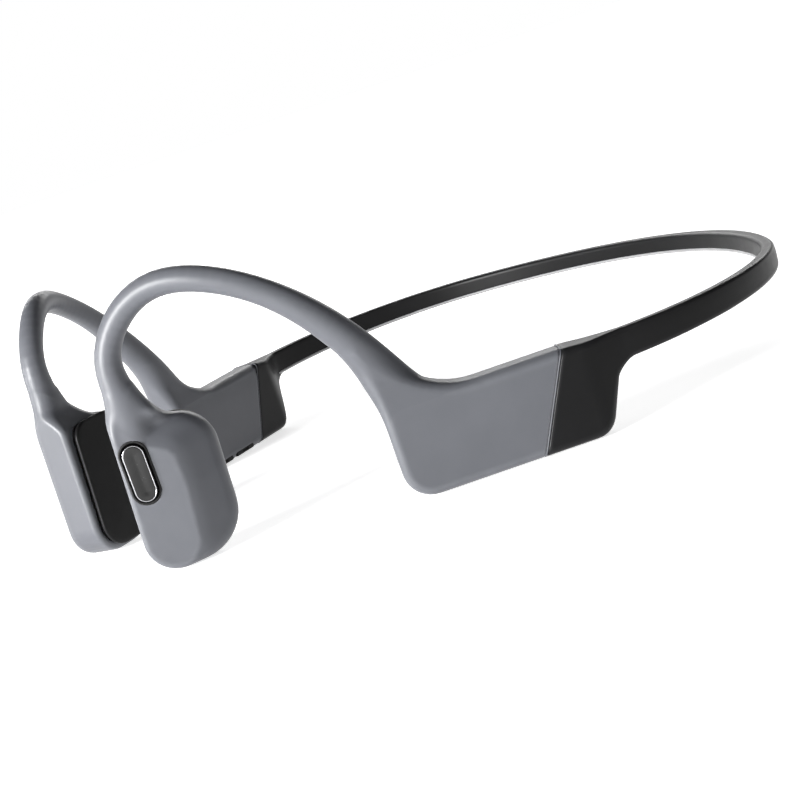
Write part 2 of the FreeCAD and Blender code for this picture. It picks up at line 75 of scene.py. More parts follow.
# The arm frame: u runs forwards along the arm, v outwards from the head, z up, all in millimetres.
outward = np.array(joints["left_pad_vibration"]["axis"], float)
forward = np.array([outward[1], -outward[0], 0.0])
underside = {"forwardOfOrigin": 22.0, "outOfOrigin": 1.0}
armOrigin = np.array(mounts["left_underside"]["pos_m"], float) / mm
armOrigin = armOrigin - forward * underside["forwardOfOrigin"] - outward * underside["outOfOrigin"]


def onArm(side):
    # arm frame to world, in metres; side is 1 on the left and -1 on the right
    def place(points):
        world = armOrigin + points[:, :1] * forward + points[:, 1:2] * outward
        world = world + points[:, 2:3] * np.array([0.0, 0.0, 1.0])
        world[:, 0] *= side
        return world * mm
    return place


def armBox(node):
    # lowest and highest (u, v, z) of a CAD node
    points = np.array([vertex.co for vertex in nodes[node].data.vertices], float) / mm
    if points[:, 0].mean() < 0:
        points[:, 0] *= -1
    local = points - armOrigin
    local = np.stack([local @ forward, local @ outward, points[:, 2]], 1)
    return local.min(0), local.max(0)


def meld(first, second, softness):
    # union with a fillet about as wide as softness
    share = np.clip(0.5 + 0.5 * (second - first) / softness, 0, 1)
    return second * (1 - share) + first * share - softness * share * (1 - share)


def trim(first, second, softness):
    # what is inside both, with a soft edge
    return -meld(-first, -second, softness)


def hump(first, second, middle, reach):
    # 1 at a place and fading away round it, to soften a union there only
    return np.exp(-((first - middle[0]) ** 2 + (second - middle[1]) ** 2) / reach ** 2)


def eased(value, low, high):
    # 0 below low, 1 above high and an even change between
    share = np.clip((value - low) / (high - low), 0, 1)
    return share * share * (3 - 2 * share)


def rounded(corners, steps=9):
    # outline through (a, b, radius) corners, each with its arc
    points = []
    for i, (a, b, radius) in enumerate(corners):
        here = np.array([a, b], float)
        before = np.array(corners[i - 1][:2]) - here
        after = np.array(corners[(i + 1) % len(corners)][:2]) - here
        before = before / np.linalg.norm(before)
        after = after / np.linalg.norm(after)
        if radius == 0:
            points.append(here)
            continue
        half = math.acos(np.clip(before @ after, -1, 1)) / 2
        bisector = (before + after) / np.linalg.norm(before + after)
        centre = here + bisector * radius / math.sin(half)
        start = here + before * radius / math.tan(half) - centre
        end = here + after * radius / math.tan(half) - centre
        angle = math.atan2(start[1], start[0])
        turn = (math.atan2(end[1], end[0]) - angle + math.pi) % (2 * math.pi) - math.pi
        for step in range(steps + 1):
            at = angle + turn * step / steps
            points.append(centre + radius * np.array([math.cos(at), math.sin(at)]))
    return np.array(points)


def outlineDistance(points, a, b):
    # signed distance to a closed outline, negative inside
    best = np.full(a.shape, np.inf)
    inside = np.zeros(a.shape, bool)
    for start, end in zip(points, np.roll(points, -1, 0)):
        edge = end - start
        if edge @ edge < 1e-12:
            continue
        da, db = a - start[0], b - start[1]
        t = np.clip((da * edge[0] + db * edge[1]) / (edge @ edge), 0, 1)
        best = np.minimum(best, (da - t * edge[0]) ** 2 + (db - t * edge[1]) ** 2)
        if edge[1] != 0:
            crosses = (start[1] <= b) != (end[1] <= b)
            inside ^= crosses & (da < edge[0] * db / edge[1])
    return np.where(inside, -1, 1) * np.sqrt(best)


def extruded(flat, across, half, radius):
    # an outline given thickness, with its rims rounded
    first = flat + radius
    second = np.abs(across) - half + radius
    outside = np.hypot(np.maximum(first, 0), np.maximum(second, 0))
    return outside + np.minimum(np.maximum(first, second), 0) - radius


moulding = {
    "block": 4, "nearBlocks": 1.7, "farValue": 99.0, "polishes": 3, "probe": 0.02, "leastSlope": 0.25,
    "mostMove": 0.5, "rimReach": 0.6,
}


def moulded(name, field, low, high, step, place, flip=False):
    # Closed mesh of a distance field: one point for each grid cell that the surface crosses,
    # then each point is drawn onto the surface. The attribute rim is high on sharp outer edges.
    block = moulding["block"]
    low = np.array(low, float)
    blocks = np.ceil((np.array(high, float) - low) / (step * block)).astype(int)
    counts = blocks * block + 1
    coarseAxes = [low[i] + step * block * np.arange(blocks[i] + 1) for i in range(3)]
    coarse = np.stack(np.meshgrid(*coarseAxes, indexing="ij"), -1).reshape(-1, 3)
    coarseValue = field(coarse).reshape(blocks + 1)
    pick = [np.minimum((np.arange(counts[i]) + block // 2) // block, blocks[i]) for i in range(3)]
    value = np.sign(coarseValue[np.ix_(*pick)]) * moulding["farValue"]
    near = np.abs(coarseValue) < step * block * moulding["nearBlocks"]
    index = np.argwhere(near[np.ix_(*pick)])
    value[tuple(index.T)] = field(low + index * step)
    value[value == 0] = 1e-9
    cells = counts - 1
    total = np.zeros((int(np.prod(cells)), 3))
    tally = np.zeros(int(np.prod(cells)))
    quads = []
    for axis in range(3):
        lower = [slice(None)] * 3
        upper = [slice(None)] * 3
        lower[axis], upper[axis] = slice(0, -1), slice(1, None)
        a, b = value[tuple(lower)], value[tuple(upper)]
        edges = np.argwhere((a < 0) != (b < 0))
        second, third = (axis + 1) % 3, (axis + 2) % 3
        inner = (edges[:, second] > 0) & (edges[:, second] < cells[second])
        inner &= (edges[:, third] > 0) & (edges[:, third] < cells[third])
        edges = edges[inner]
        start, end = a[tuple(edges.T)], b[tuple(edges.T)]
        crossing = edges.astype(float)
        crossing[:, axis] += start / (start - end)
        ring = []
        for back, down in ((1, 1), (0, 1), (0, 0), (1, 0)):
            cell = edges.copy()
            cell[:, second] -= back
            cell[:, third] -= down
            flat = np.ravel_multi_index(tuple(cell.T), tuple(cells))
            np.add.at(total, flat, crossing)
            np.add.at(tally, flat, 1)
            ring.append(flat)
        ring = np.stack(ring, 1)
        ring[start > 0] = ring[start > 0][:, ::-1]
        quads.append(ring)
    quads = np.concatenate(quads)
    used = np.flatnonzero(tally)
    renumber = np.zeros(len(tally), int)
    renumber[used] = np.arange(len(used))
    points = low + step * total[used] / tally[used][:, None]
    axes = np.eye(3)
    probe = moulding["probe"]
    most = step * moulding["mostMove"]
    for _ in range(moulding["polishes"]):
        here = field(points)
        slope = [field(points + axis * probe) - field(points - axis * probe) for axis in axes]
        slope = np.stack(slope, 1) / (2 * probe)
        length = np.maximum((slope ** 2).sum(1), moulding["leastSlope"])
        points = points - np.clip(slope * (here / length)[:, None], -most, most)
    reach = moulding["rimReach"]
    bent = sum(field(points + axis * reach * way) for axis in axes for way in (-1, 1))
    bent = (bent - 6 * field(points)) / reach ** 2
    faces = renumber[quads]
    if flip:
        faces = faces[:, ::-1]
    mesh = bpy.data.meshes.new(name)
    mesh.from_pydata(place(points).tolist(), [], faces.tolist())
    mesh.polygons.foreach_set("use_smooth", [True] * len(mesh.polygons))
    rim = mesh.attributes.new("rim", "FLOAT", "POINT")
    rim.data.foreach_set("value", np.clip(bent, -1, 2).astype(np.float32))
    piece = bpy.data.objects.new(name, mesh)
    bpy.context.scene.collection.objects.link(piece)
    print("moulded", name, len(mesh.polygons), "faces")
    return piece


class Wire:
    # one output socket, so that shader maths reads as arithmetic
    def __init__(self, tree, socket):
        self.tree = tree
        self.socket = socket

    def maths(self, operation, first, second):
        node = self.tree.nodes.new("ShaderNodeMath")
        node.operation = operation
        for socket, given in zip(node.inputs, (first, second)):
            if isinstance(given, Wire):
                self.tree.links.new(given.socket, socket)
            else:
                socket.default_value = given
        return Wire(self.tree, node.outputs[0])

    def __add__(self, other):
        return self.maths("ADD", self, other)

    def __radd__(self, other):
        return self.maths("ADD", other, self)

    def __sub__(self, other):
        return self.maths("SUBTRACT", self, other)

    def __rsub__(self, other):
        return self.maths("SUBTRACT", other, self)

    def __mul__(self, other):
        return self.maths("MULTIPLY", self, other)

    def __rmul__(self, other):
        return self.maths("MULTIPLY", other, self)


class Finish:
    # a material with one Principled shader
    def __init__(self, name, **constants):
        self.material = bpy.data.materials.new(name)
        self.material.use_nodes = True
        self.tree = self.material.node_tree
        self.shader = self.tree.nodes["Principled BSDF"]
        for socket, value in constants.items():
            self.shader.inputs[socket.replace("_", " ")].default_value = value
        self.place = self.node("ShaderNodeTexCoord")["Object"]

    def node(self, kind, settings=None, **values):
        made = self.tree.nodes.new(kind)
        for key, value in (settings or {}).items():
            setattr(made, key, value)
        for key, value in values.items():
            sockets = made.inputs
            socket = sockets[int(key[1:])] if key[1:].isdigit() else sockets[key.replace("_", " ")]
            if isinstance(value, Wire):
                self.tree.links.new(value.socket, socket)
            else:
                socket.default_value = value
        wires = [Wire(self.tree, socket) for socket in made.outputs]
        named = {wire.socket.name: wire for wire in wires}
        return {**named, **dict(enumerate(wires))}

    def noise(self, scale, detail=2.0, roughness=0.5):
        made = self.node("ShaderNodeTexNoise", Vector=self.place, Scale=scale, Detail=detail,
                         Roughness=roughness)
        return made[0]

    def mix(self, factor, first, second):
        return self.node("ShaderNodeMix", {"data_type": "RGBA"}, i0=factor, i6=first, i7=second)[2]

    def clamped(self, value, low, high, outLow=0.0, outHigh=1.0):
        made = self.node("ShaderNodeMapRange", {"clamp": True}, Value=value, i1=low, i2=high,
                         i3=outLow, i4=outHigh)
        return made["Result"]

    def drive(self, **links):
        for socket, wire in links.items():
            self.tree.links.new(wire.socket, self.shader.inputs[socket.replace("_", " ")])
        return self.material


def colour(red, green, blue):
    return (red, green, blue, 1.0)


# each edge colour is painted on sharp outer edges, partly wear and partly a painted highlight
silicones = {
    "greySilicone": {
        "shade": (0.080, 0.083, 0.093), "lit": (0.087, 0.090, 0.101), "edge": (0.135, 0.14, 0.152),
        "roughness": 0.40, "grain": 5200.0, "depth": 0.000010, "ior": 1.36,
    },
    "blackSilicone": {
        "shade": (0.0042, 0.0042, 0.0045), "lit": (0.0056, 0.0056, 0.006), "edge": (0.02, 0.02, 0.021),
        "roughness": 0.38, "grain": 5200.0, "depth": 0.000010, "ior": 1.24,
    },
    "padSilicone": {
        "shade": (0.0028, 0.0028, 0.003), "lit": (0.004, 0.004, 0.0043), "edge": (0.012, 0.012, 0.012),
        "roughness": 0.46, "grain": 6500.0, "depth": 0.000008, "ior": 1.22,
    },
    "volumeRubber": {
        "shade": (0.003, 0.003, 0.003), "lit": (0.005, 0.005, 0.005), "edge": (0.015, 0.015, 0.015),
        "roughness": 0.45, "grain": 6500.0, "depth": 0.000008, "ior": 1.22,
    },
}


def silicone(name):
    # soft touch moulding: fine spark grain, faint mottling, and paler along its sharp edges, partly wear and
    # partly a painted highlight
    look = silicones[name]
    finish = Finish(name, IOR=look["ior"])
    mottle = finish.noise(90.0, 4.0, 0.6)
    smudge = finish.noise(420.0, 3.0, 0.55)
    grain = finish.noise(look["grain"], 2.0, 0.6)
    edge = finish.node("ShaderNodeAttribute", {"attribute_name": "rim"})["Fac"]
    # paler sharp edges: partly wear, partly a painted highlight
    wearAndHighlight = finish.clamped(edge, 0.35, 1.1) * finish.clamped(smudge, 0.3, 0.7, 0.6, 1.0)
    body = finish.mix(finish.clamped(mottle, 0.35, 0.65), colour(*look["shade"]), colour(*look["lit"]))
    base = finish.mix(wearAndHighlight * 0.55, body, colour(*look["edge"]))
    rough = look["roughness"] - 0.05 + smudge * 0.10 - wearAndHighlight * 0.08 + grain * 0.03
    bump = finish.node("ShaderNodeBump", Strength=0.55, Distance=look["depth"], Height=grain)
    return finish.drive(Base_Color=base, Roughness=rough, Normal=bump["Normal"])


metals = {
    "sprungWire": {
        "shade": (0.33, 0.32, 0.31), "lit": (0.50, 0.49, 0.47), "roughness": 0.32, "draw": 900.0,
    },
    "driverSteel": {
        "shade": (0.38, 0.38, 0.39), "lit": (0.56, 0.56, 0.57), "roughness": 0.34, "draw": 1600.0,
    },
    "magnetPlating": {
        "shade": (0.52, 0.52, 0.54), "lit": (0.70, 0.70, 0.72), "roughness": 0.15, "draw": 2400.0,
    },
    "copperCoil": {
        "shade": (0.42, 0.15, 0.06), "lit": (0.72, 0.33, 0.15), "roughness": 0.30, "draw": 5200.0,
    },
    "switchMetal": {
        "shade": (0.42, 0.42, 0.40), "lit": (0.62, 0.62, 0.60), "roughness": 0.30, "draw": 2000.0,
    },
    "batteryFoil": {
        "shade": (0.40, 0.40, 0.42), "lit": (0.58, 0.58, 0.60), "roughness": 0.38, "draw": 700.0,
    },
    "goldContact": {
        "shade": (0.62, 0.42, 0.12), "lit": (0.85, 0.63, 0.25), "roughness": 0.22, "draw": 2600.0,
    },
    "buttonRim": {
        "shade": (0.42, 0.42, 0.44), "lit": (0.62, 0.62, 0.64), "roughness": 0.20, "draw": 2600.0,
    },
}


def metal(name):
    # drawn or plated metal, with streaks along it and duller, darker handling marks
    look = metals[name]
    finish = Finish(name, Metallic=1.0)
    stretch = finish.node("ShaderNodeMapping", Vector=finish.place, Scale=(1.0, 1.0, 0.12))["Vector"]
    streak = finish.node("ShaderNodeTexNoise", Vector=stretch, Scale=look["draw"], Detail=3.0)["Fac"]
    marks = finish.noise(500.0, 3.0)
    base = finish.mix(finish.clamped(streak * 0.6 + marks * 0.4, 0.35, 0.65), colour(*look["shade"]),
                      colour(*look["lit"]))
    rough = look["roughness"] - 0.08 + marks * 0.16
    bump = finish.node("ShaderNodeBump", Strength=0.4, Distance=0.000008, Height=streak)
    return finish.drive(Base_Color=base, Roughness=rough, Normal=bump["Normal"])


plastics = {
    "cableJacket": {
        "shade": (0.012, 0.012, 0.012), "lit": (0.03, 0.03, 0.03), "roughness": 0.55, "grain": 3000.0,
    },
    "driverPlastic": {
        "shade": (0.018, 0.018, 0.02), "lit": (0.035, 0.035, 0.038), "roughness": 0.5, "grain": 3600.0,
    },
    "circuitBoard": {
        "shade": (0.006, 0.05, 0.022), "lit": (0.012, 0.10, 0.045), "roughness": 0.35, "grain": 1500.0,
    },
    "chipPlastic": {
        "shade": (0.012, 0.012, 0.013), "lit": (0.028, 0.028, 0.03), "roughness": 0.45, "grain": 4200.0,
    },
    "buttonGloss": {
        "shade": (0.010, 0.010, 0.010), "lit": (0.016, 0.016, 0.016), "roughness": 0.24, "grain": 5200.0,
    },
    # painted highlight: the pale colour of the bead along the band's inner lower edge
    "bandHighlightBead": {
        "shade": (0.25, 0.25, 0.255), "lit": (0.31, 0.31, 0.315), "roughness": 0.36, "grain": 5200.0,
    },
    "pocketBlack": {
        "shade": (0.004, 0.004, 0.004), "lit": (0.008, 0.008, 0.008), "roughness": 0.6, "grain": 4000.0,
    },
}


def plastic(name):
    # moulded plastic: fine texture, slight flow marks and scuffed high spots
    look = plastics[name]
    finish = Finish(name, IOR=1.38)
    flow = finish.noise(260.0, 3.0)
    grain = finish.noise(look["grain"], 2.0, 0.6)
    scuff = finish.clamped(finish.noise(1400.0, 4.0, 0.7), 0.58, 0.75)
    base = finish.mix(finish.clamped(flow, 0.3, 0.7), colour(*look["shade"]), colour(*look["lit"]))
    rough = look["roughness"] - 0.04 + flow * 0.08 + scuff * 0.08
    bump = finish.node("ShaderNodeBump", Strength=0.4, Distance=0.000008, Height=grain)
    return finish.drive(Base_Color=base, Roughness=rough, Normal=bump["Normal"])


finishes = {name: silicone(name) for name in silicones}
finishes.update({name: metal(name) for name in metals})
finishes.update({name: plastic(name) for name in plastics})
slotFinish = {
    "black_silicone": "blackSilicone", "grey_silicone": "greySilicone", "sprung_wire": "sprungWire",
    "cable_jacket": "cableJacket", "pad_silicone": "padSilicone", "driver_steel": "driverSteel",
    "magnet_plating": "magnetPlating", "copper_coil": "copperCoil", "driver_plastic": "driverPlastic",
    "button_gloss": "buttonGloss", "volume_rubber": "volumeRubber", "switch_metal": "switchMetal",
    "battery_foil": "batteryFoil", "circuit_board": "circuitBoard", "chip_plastic": "chipPlastic",
    "gold_contact": "goldContact",
}
for part in record["subparts"]:
    mesh = nodes[part["node"]].data
    mesh.materials.clear()
    mesh.materials.append(finishes[slotFinish[part["material_slot"]]])
print("materials on", len(record["subparts"]), "CAD nodes")


def finished(piece, finish, body=None, replaced=()):
    piece.data.materials.clear()
    piece.data.materials.append(finishes[finish])
    if body:
        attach(piece, body)
    if replaced:
        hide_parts(*replaced)
    return piece


def beadTree():
    # path in, round bead out; the radius and the number of sides are inputs
    tree = bpy.data.node_groups.new("beadAlongPath", "GeometryNodeTree")
    face = tree.interface
    face.new_socket("Geometry", in_out="INPUT", socket_type="NodeSocketGeometry")
    radius = face.new_socket("Bead Radius", in_out="INPUT", socket_type="NodeSocketFloat")
    sides = face.new_socket("Sides", in_out="INPUT", socket_type="NodeSocketInt")
    spacing = face.new_socket("Spacing", in_out="INPUT", socket_type="NodeSocketFloat")
    material = face.new_socket("Finish", in_out="INPUT", socket_type="NodeSocketMaterial")
    face.new_socket("Geometry", in_out="OUTPUT", socket_type="NodeSocketGeometry")
    make, link = tree.nodes.new, tree.links.new
    start, end = make("NodeGroupInput"), make("NodeGroupOutput")
    curve, even = make("GeometryNodeMeshToCurve"), make("GeometryNodeResampleCurve")
    even.mode = "LENGTH"
    circle, sweep = make("GeometryNodeCurvePrimitiveCircle"), make("GeometryNodeCurveToMesh")
    shade, paint = make("GeometryNodeSetShadeSmooth"), make("GeometryNodeSetMaterial")
    real = make("GeometryNodeRealizeInstances")
    link(start.outputs["Geometry"], curve.inputs["Mesh"])
    link(curve.outputs["Curve"], even.inputs["Curve"])
    link(start.outputs["Spacing"], even.inputs["Length"])
    link(start.outputs["Bead Radius"], circle.inputs["Radius"])
    link(start.outputs["Sides"], circle.inputs["Resolution"])
    link(even.outputs["Curve"], sweep.inputs["Curve"])
    link(circle.outputs["Curve"], sweep.inputs["Profile Curve"])
    sweep.inputs["Fill Caps"].default_value = True
    link(sweep.outputs["Mesh"], shade.inputs["Geometry"])
    link(shade.outputs["Geometry"], real.inputs["Geometry"])
    link(real.outputs["Geometry"], paint.inputs["Geometry"])
    link(start.outputs["Finish"], paint.inputs["Material"])
    link(paint.outputs["Geometry"], end.inputs["Geometry"])
    return tree, {"radius": radius.identifier, "sides": sides.identifier, "spacing": spacing.identifier,
                  "finish": material.identifier}


beads, beadSockets = beadTree()
beadShape = {"sides": 8, "spacing": 0.25}


def bead(name, path, radius, finish, body, closed=True):
    count = len(path)
    mesh = bpy.data.meshes.new(name + "Path")
    mesh.from_pydata(path.tolist(), [(i, (i + 1) % count) for i in range(count - (not closed))], [])
    holder = bpy.data.objects.new(name, mesh)
    bpy.context.scene.collection.objects.link(holder)
    nodesModifier = holder.modifiers.new("bead", "NODES")
    nodesModifier.node_group = beads
    nodesModifier[beadSockets["radius"]] = radius * mm
    nodesModifier[beadSockets["sides"]] = beadShape["sides"]
    nodesModifier[beadSockets["spacing"]] = beadShape["spacing"] * mm
    nodesModifier[beadSockets["finish"]] = finishes[finish]
    graph = bpy.context.evaluated_depsgraph_get()
    swept = bpy.data.meshes.new_from_object(holder.evaluated_get(graph))
    holder.modifiers.clear()
    holder.data = swept
    return finished(holder, finish, body)


band = {
    "halfThickness": 1.2, "sideRadius": 38.2, "sideCentreY": 17.76, "highSide": 14.9, "lowSide": 9.8,
    "highRear": 15.2, "lowRear": 11.6, "sideEndY": -6.0, "crown": 0.34, "ridge": 0.60, "edge": 0.62,
    "grid": 0.32, "spare": 4.2, "endsAhead": 4.0, "leanPower": 1.4, "hingeHeading": 45.0, "bendReach": 7.0,
    # the pale bead along the band's inner lower edge is a painted highlight
    "highlightBeadPoints": 240, "highlightBeadIn": -1.0, "highlightBeadUp": 0.40, "highlightBeadRadius": 0.33,
}
boot = {
    "start": -4.6, "toe": 1.3, "full": 3.2, "seamTop": 5.3, "seamBottom": 12.6, "cornerRadius": 4.0,
    "fillet": 3.2, "leastFillet": 0.05, "filletReach": 4.0, "filletPlace": (-3.4, 9.6),
    "edge": 1.15, "seamGap": 0.06, "seamEdge": 0.22,
}
housingLow, housingHigh = armBox("left_ear_housing")
halfHousing = housingHigh[1]
housingTop = 15.3
armHeading = math.pi / 2 + math.asin(-outward[1])
sideCentre = np.array([cadHigh.x / mm - band["halfThickness"] - band["sideRadius"], band["sideCentreY"]])
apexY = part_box("rear_band_sleeve")[1].y / mm - band["halfThickness"]
lead = apexY - band["sideRadius"]
rearCentreY = (lead ** 2 - sideCentre @ sideCentre) / (2 * (lead - sideCentre[1]))
rearRadius = apexY - rearCentreY
joinHeading = math.atan2(sideCentre[0], sideCentre[1] - rearCentreY)
joinRun = joinHeading * rearRadius
armRun = joinRun + (armHeading - joinHeading) * band["sideRadius"]


def bandPlan(run):
    # middle of the band and its outward direction, at a distance round from behind the head
    heading = np.where(run < joinRun, run / rearRadius, joinHeading + (run - joinRun) / band["sideRadius"])
    heading = np.minimum(heading, armHeading)
    radius = np.where(run < joinRun, rearRadius, band["sideRadius"])
    centreX = np.where(run < joinRun, 0.0, sideCentre[0])
    centreY = np.where(run < joinRun, rearCentreY, sideCentre[1])
    out = np.stack([np.sin(heading), np.cos(heading)], -1)
    past = np.maximum(run - armRun, 0)[:, None] * forward[:2]
    return np.stack([centreX, centreY], -1) + out * radius[:, None] + past, out


def onBand(side):
    def place(points):
        middle, out = bandPlan(points[:, 0])
        flat = middle + out * points[:, 1:2]
        return np.stack([flat[:, 0] * side, flat[:, 1], points[:, 2]], 1) * mm
    return place


def bandHeights(y):
    share = np.clip((y - band["sideEndY"]) / (apexY + band["halfThickness"] - band["sideEndY"]), 0, 1)
    low = band["lowSide"] + (band["lowRear"] - band["lowSide"]) * share
    return low, band["highSide"] + (band["highRear"] - band["highSide"]) * share


def seamDistance(u, z):
    # distance ahead of the slanted seam between boot and housing
    run = boot["seamBottom"] - boot["seamTop"]
    length = math.hypot(run, housingTop)
    return ((u - boot["seamBottom"]) * housingTop + z * run) / length


bootOutline = rounded([
    (-3.9, 12.0, 0), (-3.9, band["highSide"] - 0.4, 0), (boot["seamTop"], housingTop, 0),
    (boot["seamTop"] + 12, housingTop, 0),
    (boot["seamBottom"] + 8, 0, 0), (boot["toe"], 0, boot["cornerRadius"]),
])


def bandField(points):
    run, out, z = points.T
    u = run - armRun
    middle, _ = bandPlan(run)
    low, high = bandHeights(middle[:, 1])
    strip = np.maximum(np.maximum(z - high, low - z), u - band["endsAhead"])
    soft = boot["leastFillet"] + boot["fillet"] * hump(u, z, boot["filletPlace"], boot["filletReach"])
    side = meld(strip, outlineDistance(bootOutline, u, z), soft)
    grown = eased(u, boot["start"], boot["full"])
    half = band["halfThickness"] + (halfHousing - band["halfThickness"]) * grown
    ridgeZ = low + (high - low) * band["ridge"]
    lean = np.abs((z - ridgeZ) / (high - low)) ** band["leanPower"]
    half = half - band["crown"] * lean * (1 - grown) * (out > 0)
    edge = band["edge"] + (boot["edge"] - band["edge"]) * grown
    body = extruded(side, out, half, edge)
    return trim(body, seamDistance(u, z) + boot["seamGap"], boot["seamEdge"])


def closedAtMiddle(piece, side):
    # cut square behind the head, where the two halves of the band meet, and closed with a flat face
    shape = bmesh.new()
    shape.from_mesh(piece.data)
    everything = shape.verts[:] + shape.edges[:] + shape.faces[:]
    bmesh.ops.bisect_plane(shape, geom=everything, plane_co=(0, 0, 0), plane_no=(side, 0, 0),
                           clear_inner=True)
    rim = [edge for edge in shape.edges if edge.is_boundary]
    cap = bmesh.ops.holes_fill(shape, edges=rim, sides=0)["faces"]
    for edge in rim:
        edge.smooth = False
    for face in cap:
        face.smooth = False
    shape.to_mesh(piece.data)
    shape.free()


def bentAtHinge(piece, side, label):
    # the hinge's position is looked up, but the piece does not bend: its placement is baked into its mesh
    hinge = Vector(joints[label + "_arm_flex"]["pos_m"])
    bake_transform(piece)


def bandSkin(side, label):
    low = (-3 * band["grid"], -band["spare"], -0.6)
    high = (armRun + boot["seamBottom"] + 1.0, band["spare"], 16.2)
    skin = moulded(label + "BandSkin", bandField, low, high, band["grid"], onBand(side), flip=side > 0)
    closedAtMiddle(skin, side)
    finished(skin, "blackSilicone", None,
             (label + "_band_sleeve", label + "_boot", "rear_band_sleeve"))
    bentAtHinge(skin, side, label)


def bandHighlightBead(side, label):
    # pale bead along the band's inner lower edge, a painted highlight
    runs = np.linspace(0, armRun - 1.0, band["highlightBeadPoints"])
    middle, _ = bandPlan(runs)
    low, _ = bandHeights(middle[:, 1])
    line = np.stack([runs, np.full(len(runs), band["highlightBeadIn"]), low + band["highlightBeadUp"]], 1)
    highlightBead = bead(label + "BandHighlightBead", onBand(side)(line), band["highlightBeadRadius"], "bandHighlightBead",
                  None, closed=False)
    bentAtHinge(highlightBead, side, label)


# stations are the middle of the hook, its half width in the arm's plane and its half thickness
hook = {
    "stations": [
        (30.2, 0.0, 17.5, 3.0, 2.3), (32.6, 0.1, 21.9, 2.9, 2.6), (35.6, 0.6, 27.0, 2.72, 2.7),
        (44.2, 0.6, 37.1, 2.15, 2.15), (53.2, -1.0, 42.7, 2.05, 2.05),
        (61.4, -4.1, 44.1, 2.08, 2.1), (68.9, -7.0, 40.2, 2.1, 2.1), (72.3, -7.9, 34.0, 2.2, 2.2),
        (72.15, -7.9, 29.0, 2.6, 2.35), (72.0, -8.0, 23.5, 2.6, 2.3),
    ],
    "segments": 44, "rootSoftness": 0.9, "rootHalf": 2.55, "rootEdge": 2.6,
    "neckSoftness": 0.9, "slimLow": 11.0, "slimHigh": 24.0, "rootMiddle": 0.5, "spare": 12.0, "far": 60.0,
}
housing = {
    "cornerRadius": 4.6, "edge": 1.3, "wall": 1.1, "frontInset": 0.3, "cavityCorner": 2.0, "behindSeam": 4.0,
    "seamGap": 0.06, "seamEdge": 0.22, "grid": 0.34,
}
pod = {
    "depth": 16.5, "top": 24.4, "neckTop": 30.5, "rearRadius": 7.3, "frontRadius": 5.2, "shoulderRadius": 6.2,
    "frontFull": 0.4, "heel": 1.0, "facetTop": 26.5, "edgeSoftness": 1.8, "cavityTop": 23.0,
    "topFront": 75.2, "topFrontRadius": 4.0, "bevel": 0.64, "creaseSoftness": 0.10, "rim": 0.9,
    "wall": 1.2, "neckLow": 22.5, "neckHigh": 27.5, "neckMiddle": -7.9, "neckHalf": 2.2, "neckRim": 2.1,
}
podLow, podHigh = armBox("left_pod_shell")
buttonLow, buttonHigh = armBox("multifunction_button")
button = {"clearance": 0.34, "depth": 2.3, "dome": 0.22, "rimRadius": 0.095,
          "pocketEdge": 0.12, "edge": 0.35, "domeStart": 0.5, "domeReach": 0.9, "topEdge": 0.15, "grid": 0.16,
          "seatWall": 0.35, "seatOverlap": 0.06, "seatBelow": 0.5, "seatFloor": 0.45, "seatSunk": 0.30,
          "spare": 1.4, "rimInset": 0.8, "rimSunk": 0.16, "roundness": 0.999}


def hookPath():
    # natural cubic spline through the stations, evenly spaced along the hook
    knots = np.array(hook["stations"], float)
    along = np.concatenate([[0], np.cumsum(np.linalg.norm(np.diff(knots[:, :3], axis=0), axis=1))])
    gaps = np.diff(along)
    count = len(along)
    system = np.eye(count)
    right = np.zeros((count, knots.shape[1]))
    for i in range(1, count - 1):
        system[i, i - 1:i + 2] = gaps[i - 1], 2 * (gaps[i - 1] + gaps[i]), gaps[i]
        right[i] = 6 * ((knots[i + 1] - knots[i]) / gaps[i] - (knots[i] - knots[i - 1]) / gaps[i - 1])
    bend = np.linalg.solve(system, right)
    at = np.linspace(0, along[-1], hook["segments"] + 1)
    i = np.clip(np.searchsorted(along, at) - 1, 0, count - 2)
    before, after = (at - along[i])[:, None], (along[i + 1] - at)[:, None]
    gap = gaps[i][:, None]
    path = bend[i] * after ** 3 / (6 * gap) + bend[i + 1] * before ** 3 / (6 * gap)
    path += (knots[i] / gap - bend[i] * gap / 6) * after
    return path + (knots[i + 1] / gap - bend[i + 1] * gap / 6) * before


hookLine = hookPath()


def hookDistance(points):
    # tube with an oval section that is wider in the arm's plane at its root
    best = np.full(len(points), hook["far"])
    for start, end in zip(hookLine, hookLine[1:]):
        reach = np.linalg.norm(end[:3] - start[:3]) / 2 + hook["spare"]
        close = np.flatnonzero(((points - (start[:3] + end[:3]) / 2) ** 2).sum(1) < reach ** 2)
        offset = points[close] - start[:3]
        edge = end[:3] - start[:3]
        t = np.clip(offset @ edge / (edge @ edge), 0, 1)
        offset = offset - t[:, None] * edge
        wide = start[3] + (end[3] - start[3]) * t
        deep = start[4] + (end[4] - start[4]) * t
        inPlane = np.maximum((offset ** 2).sum(1) - offset[:, 1] ** 2, 0)
        size = np.sqrt(inPlane / wide ** 2 + offset[:, 1] ** 2 / deep ** 2)
        best[close] = np.minimum(best[close], (size - 1) * np.minimum(wide, deep))
    return best


def housingOutline():
    # the housing and the root of the hook seen from the side
    front = housingHigh[0] - housing["frontInset"]
    return rounded([
        (boot["seamBottom"] - housing["behindSeam"], 0, 0), (front, 0, housing["cornerRadius"]),
        (front + 0.1, 14.5, 22.0), (37.3, 25.4, 0.6), (35.1, 27.8, 0.6), (25.6, housingTop, 13.0),
        (boot["seamTop"] - housing["behindSeam"], housingTop, 0),
    ])


def cavityOutline():
    wall = housing["wall"]
    front = housingHigh[0] - housing["frontInset"] - wall
    return rounded([
        (boot["seamBottom"] - housing["behindSeam"], wall, 0), (front, wall, housing["cornerRadius"] - wall),
        (front, housingTop - wall, housing["cavityCorner"]),
        (boot["seamTop"] - housing["behindSeam"], housingTop - wall, 0),
    ])


